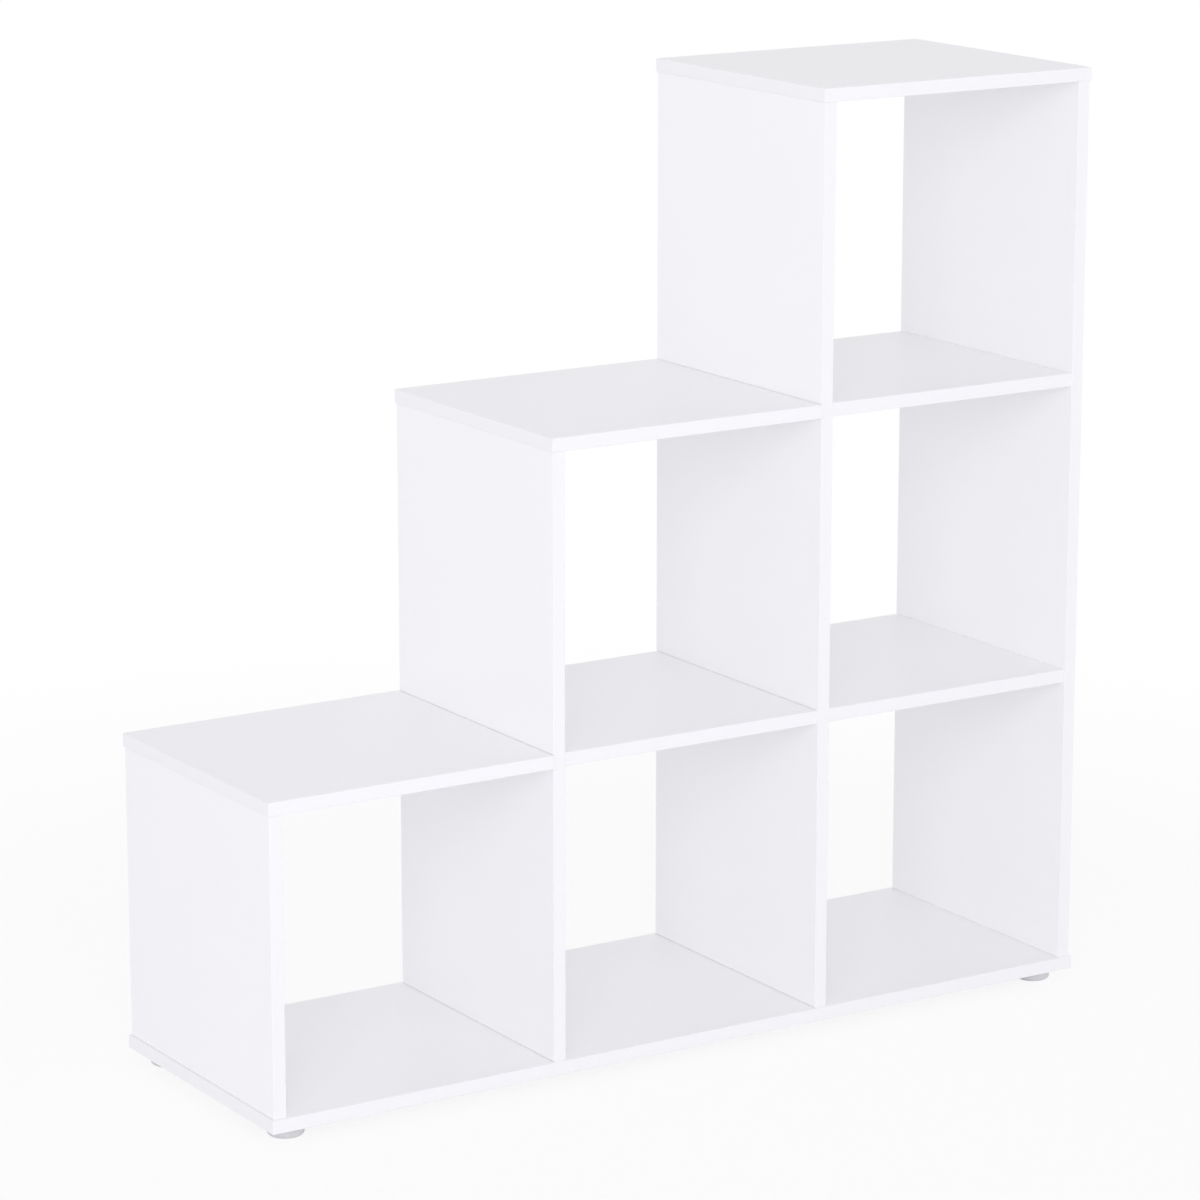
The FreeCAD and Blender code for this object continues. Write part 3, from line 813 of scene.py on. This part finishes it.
@dataclass
class CamCaps:
    """Push-in caps over the cam locks: a dished disc with a rounded rim, a pry notch and a peg."""

    node: str = "cam_caps"
    # Each top and the upright under it: the caps are on the upright's right face, below the top
    rests: tuple[tuple[str, str], ...] = (
        ("low_top", "left_side"), ("middle_top", "low_divider"),
        ("high_top", "tall_divider"), ("high_top", "right_side"),
    )
    # Each board and an upright that it butts: the caps are under the board, beside the upright
    butts: tuple[tuple[str, str], ...] = (
        ("low_top", "low_divider"), ("middle_shelf", "low_divider"), ("middle_shelf", "tall_divider"),
        ("middle_top", "tall_divider"), ("lower_right_shelf", "tall_divider"),
        ("lower_right_shelf", "right_side"), ("upper_right_shelf", "tall_divider"),
        ("upper_right_shelf", "right_side"),
    )
    # From an upright's front or back edge to the row of cams, and from a board's end to a cam's middle
    row_inset: float = 64 * MM
    reach: float = 34 * MM
    radius: float = 8.75 * MM
    thickness: float = 1 * MM
    segments: int = 64
    rim_round: float = 0.45 * MM
    rim_segments: int = 4
    brim: float = 1.3 * MM
    dish_slope: float = 0.7 * MM
    dish_depth: float = 0.22 * MM
    peg_radius: float = 1.5 * MM
    peg_length: float = 2.2 * MM
    peg_chamfer: float = 0.3 * MM
    notch_size: Vector = Vector((1.6, 3.2, 0.9)) * MM
    smooth_angle: float = math.radians(30)

    def model(self) -> Object:
        """Models one cap that looks down, with the board's face at zero height.

        Returns:
            The cap, to be copied.
        """
        origin = Vector()
        cap = disc(self.node, self.radius, self.thickness, DOWN * self.thickness, self.segments)
        with opened(cap):
            pick(cap, Pick.EDGES, on_ring(origin, self.radius, -self.thickness))
            round_off(self.rim_round, self.rim_segments)
            pick(cap, Pick.FACES, level_face(-self.thickness, DOWN))
            bpy.ops.mesh.inset(thickness=self.brim)
            bpy.ops.mesh.inset(thickness=self.dish_slope)
            bpy.ops.transform.translate(value=UP * self.dish_depth)
            pick(cap, Pick.FACES, level_face(0, UP))
            bpy.ops.mesh.inset(thickness=self.radius - self.peg_radius)
            push(UP * self.peg_length)
            pick(cap, Pick.EDGES, on_ring(origin, self.peg_radius, self.peg_length))
            round_off(self.peg_chamfer, segments=1)
        self.cut_notch(cap)
        bpy.ops.object.shade_smooth_by_angle(angle=self.smooth_angle)
        return cap

    def cut_notch(self, cap: Object) -> None:
        """Cuts the notch for a blade into a cap's rim, at the board's face.

        Args:
            cap: the cap, looking down at the origin.
        """
        clear_selection()
        bpy.ops.mesh.primitive_cube_add(size=1, location=RIGHT * self.radius, scale=self.notch_size)
        cutter = bpy.context.object
        select_alone(cap)
        notch = cap.modifiers.new("notch", "BOOLEAN")
        notch.operation = "DIFFERENCE"
        notch.object = cutter
        bpy.ops.object.modifier_apply(modifier=notch.name)
        bpy.data.objects.remove(cutter)

    def rows(self, upright: str) -> tuple[float, float]:
        """Y of the front and back rows of cam locks at an upright."""
        low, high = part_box(f"{upright}_edging")
        return low.y + self.row_inset, high.y - self.row_inset

    def places(self) -> Iterator[tuple[str, Vector, Vector]]:
        """Works out where the caps go from the boards of the frame.

        Yields:
            The board that carries a cap, the cap's place on it, and the way that the cap looks.
        """
        for top, upright in self.rests:
            _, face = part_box(upright)
            under_top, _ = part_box(top)
            for y in self.rows(upright):
                yield upright, Vector((face.x, y, under_top.z - self.reach)), RIGHT
        for board, upright in self.butts:
            low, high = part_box(board)
            left_face, right_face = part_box(upright)
            from_left = low.x + high.x < left_face.x + right_face.x
            x = left_face.x - self.reach if from_left else right_face.x + self.reach
            for y in self.rows(upright):
                yield board, Vector((x, y, low.z)), DOWN

    def build(self) -> None:
        """Models one cap, and copies it to every cam lock."""
        pattern = self.model()
        for number, (board, place, outward) in enumerate(self.places(), start=1):
            turn = DOWN.rotation_difference(outward).to_matrix().to_4x4()
            cap = copied(pattern, f"cap_{number:02d}_{board}", Matrix.Translation(place) @ turn)
            hand_over(cap, self.node, CAP_PLASTIC)
        bpy.data.objects.remove(pattern)


# Studio


@dataclass(frozen=True)
class Lamp:
    """A soft panel of light that looks at the middle of the shelf, with its power in watts."""

    name: str
    place: Vector
    width: float
    height: float
    power: float

    def build(self, target: Vector) -> None:
        """Adds the lamp.

        Args:
            target: the point that it looks at.
        """
        data = bpy.data.lights.new(self.name, "AREA")
        data.shape = "RECTANGLE"
        data.size = self.width
        data.size_y = self.height
        data.energy = self.power
        data.color = linear(DAYLIGHT)[:3]
        lamp = bpy.data.objects.new(self.name, data)
        lamp.location = self.place
        lamp.rotation_mode = "QUATERNION"
        lamp.rotation_quaternion = (target - self.place).to_track_quat("-Z", "Y")
        bpy.context.scene.collection.objects.link(lamp)
        LOG.info("%s: %.0f W", self.name, self.power)


@dataclass
class Studio:
    """A pale floor, even light all round, a soft lamp in front and the camera."""

    floor_size: float = 60.0
    floor_gap: float = 0.2 * MM
    floor_tone: str = "F7F7F8"
    floor_roughness: float = 1.0
    floor_gloss: float = 0.0
    # How much of the floor's light and shade the camera sees near the shelf, fading to plain white
    shade_share: float = 0.15
    shade_reach: tuple[float, float] = (0.7, 2.0)
    # Light goes back and forth many times between the white walls of a cell
    diffuse_bounces: int = 12
    # Light from the horizon in front and behind, and the share of it that comes from straight overhead
    front_light: float = 1.08
    back_light: float = 1.00
    overhead_share: float = 0.63
    key: Lamp = Lamp(
        "key_panel", place=Vector((-3.2, -4.8, 2.3)), width=4.4, height=3.0, power=97.0,
    )
    camera_place: Vector = Vector((-2.655, -4.154, 1.659))
    camera_yaw: float = math.radians(32.42)
    camera_pitch: float = math.radians(13.40)
    camera_lens_mm: float = 138.0
    sensor_mm: float = 36.0

    def seen_directly(self, tree: NodeTree) -> NodeSocket:
        """Tells rays that show the background itself from rays that light the shelf.

        Args:
            tree: nodes of the floor's material or of the world.

        Returns:
            One for camera, glossy and transmission rays, else zero.
        """
        rays = add_node(tree, "ShaderNodeLightPath")
        shown = rays.outputs["Is Camera Ray"]
        for kind in ("Is Glossy Ray", "Is Transmission Ray"):
            either = add_node(tree, "ShaderNodeMath", {"operation": "MAXIMUM"}, {
                0: shown, 1: rays.outputs[kind],
            })
            shown = either.outputs["Value"]
        return shown

    def floor_paint(self) -> Material:
        """Makes the floor's finish: white to the camera, but for the shelf's soft shadow.

        Returns:
            A material with its own nodes.
        """
        paint = bpy.data.materials.new("matt_white_floor")
        paint.use_nodes = True
        tree = paint.node_tree
        shader = tree.nodes["Principled BSDF"]
        set_inputs(tree, shader, {
            "Base Color": linear(self.floor_tone),
            "Roughness": self.floor_roughness,
            "Specular IOR Level": self.floor_gloss,
        })
        white = add_node(tree, "ShaderNodeEmission", None, {"Color": linear(PLAIN_WHITE)})
        coords = add_node(tree, "ShaderNodeTexCoord")
        distance = add_node(tree, "ShaderNodeVectorMath", {"operation": "LENGTH"}, {
            0: coords.outputs["Object"],
        })
        plain = add_node(tree, "ShaderNodeMapRange", {"interpolation_type": "SMOOTHSTEP"}, {
            "Value": distance.outputs["Value"],
            "From Min": self.shade_reach[0], "From Max": self.shade_reach[1],
            "To Min": 1 - self.shade_share, "To Max": 1.0,
        })
        share = add_node(tree, "ShaderNodeMath", {"operation": "MULTIPLY"}, {
            0: plain.outputs["Result"], 1: self.seen_directly(tree),
        })
        surface = add_node(tree, "ShaderNodeMixShader", None, {
            0: share.outputs["Value"], 1: shader.outputs["BSDF"], 2: white.outputs["Emission"],
        })
        set_inputs(tree, tree.nodes["Material Output"], {"Surface": surface.outputs["Shader"]})
        return paint

    def lay_floor(self) -> None:
        """Lays the floor just under the glides."""
        clear_selection()
        bpy.ops.mesh.primitive_plane_add(size=self.floor_size, location=DOWN * self.floor_gap)
        floor = bpy.context.object
        floor.name = "floor"
        floor.data.materials.append(self.floor_paint())
        LOG.info("floor: %.0f m wide", self.floor_size)

    def light_all_round(self) -> None:
        """Sets even light all round, a little weaker overhead, with plain white behind the shelf."""
        world = bpy.data.worlds.new("white_studio")
        world.use_nodes = True
        tree = world.node_tree
        coords = add_node(tree, "ShaderNodeTexCoord")
        direction = add_node(tree, "ShaderNodeSeparateXYZ", None, {"Vector": coords.outputs["Generated"]})
        # A direction's Y goes from -1, straight in front, to 1, straight behind
        facing = add_node(tree, "ShaderNodeMapRange", None, {
            "Value": direction.outputs["Y"], "From Min": -1.0,
            "To Min": self.front_light, "To Max": self.back_light,
        })
        rising = add_node(tree, "ShaderNodeMapRange", None, {
            "Value": direction.outputs["Z"], "To Min": 1.0, "To Max": self.overhead_share,
        })
        strength = add_node(tree, "ShaderNodeMath", {"operation": "MULTIPLY"}, {
            0: facing.outputs["Result"], 1: rising.outputs["Result"],
        })
        studio = add_node(tree, "ShaderNodeBackground", None, {
            "Color": linear(DAYLIGHT), "Strength": strength.outputs["Value"],
        })
        white = add_node(tree, "ShaderNodeBackground", None, {"Color": linear(PLAIN_WHITE)})
        surface = add_node(tree, "ShaderNodeMixShader", None, {
            0: self.seen_directly(tree), 1: studio.outputs["Background"], 2: white.outputs["Background"],
        })
        set_inputs(tree, tree.nodes["World Output"], {"Surface": surface.outputs["Shader"]})
        bpy.context.scene.world = world

    def set_picture(self) -> None:
        """Shows colours as they are written, and follows light far enough between the boards."""
        scene = bpy.context.scene
        scene.view_settings.view_transform = "Standard"
        scene.cycles.diffuse_bounces = self.diffuse_bounces

    def set_camera(self) -> None:
        """Sets the camera in front of the shelf, to its left and a little above it."""
        data = bpy.data.cameras.new("camera")
        data.lens = self.camera_lens_mm
        data.sensor_width = self.sensor_mm
        camera = bpy.data.objects.new("camera", data)
        camera.location = self.camera_place
        camera.rotation_euler = (math.pi / 2 - self.camera_pitch, 0, -self.camera_yaw)
        bpy.context.scene.collection.objects.link(camera)
        bpy.context.scene.camera = camera
        LOG.info("camera: %.0f mm lens", self.camera_lens_mm)

    def build(self) -> None:
        """Sets up the floor, the light and the camera."""
        low, high = FRAME_BOX
        self.lay_floor()
        self.light_all_round()
        self.key.build(target=(low + high) / 2)
        self.set_picture()
        self.set_camera()


def write_sizes() -> None:
    """Logs a closing line for the set-up; no sizes are written."""
    LOG.info("sizes written")


def main() -> None:
    """Dresses the frame, models the new pieces and sets up the studio."""
    logging.basicConfig(level=logging.INFO, format="%(name)s: %(message)s")
    Carcass().dress()
    Hardware().dress()
    Glides().build()
    CamCaps().build()
    Studio().build()
    write_sizes()


if __name__ == "__main__":
    main()
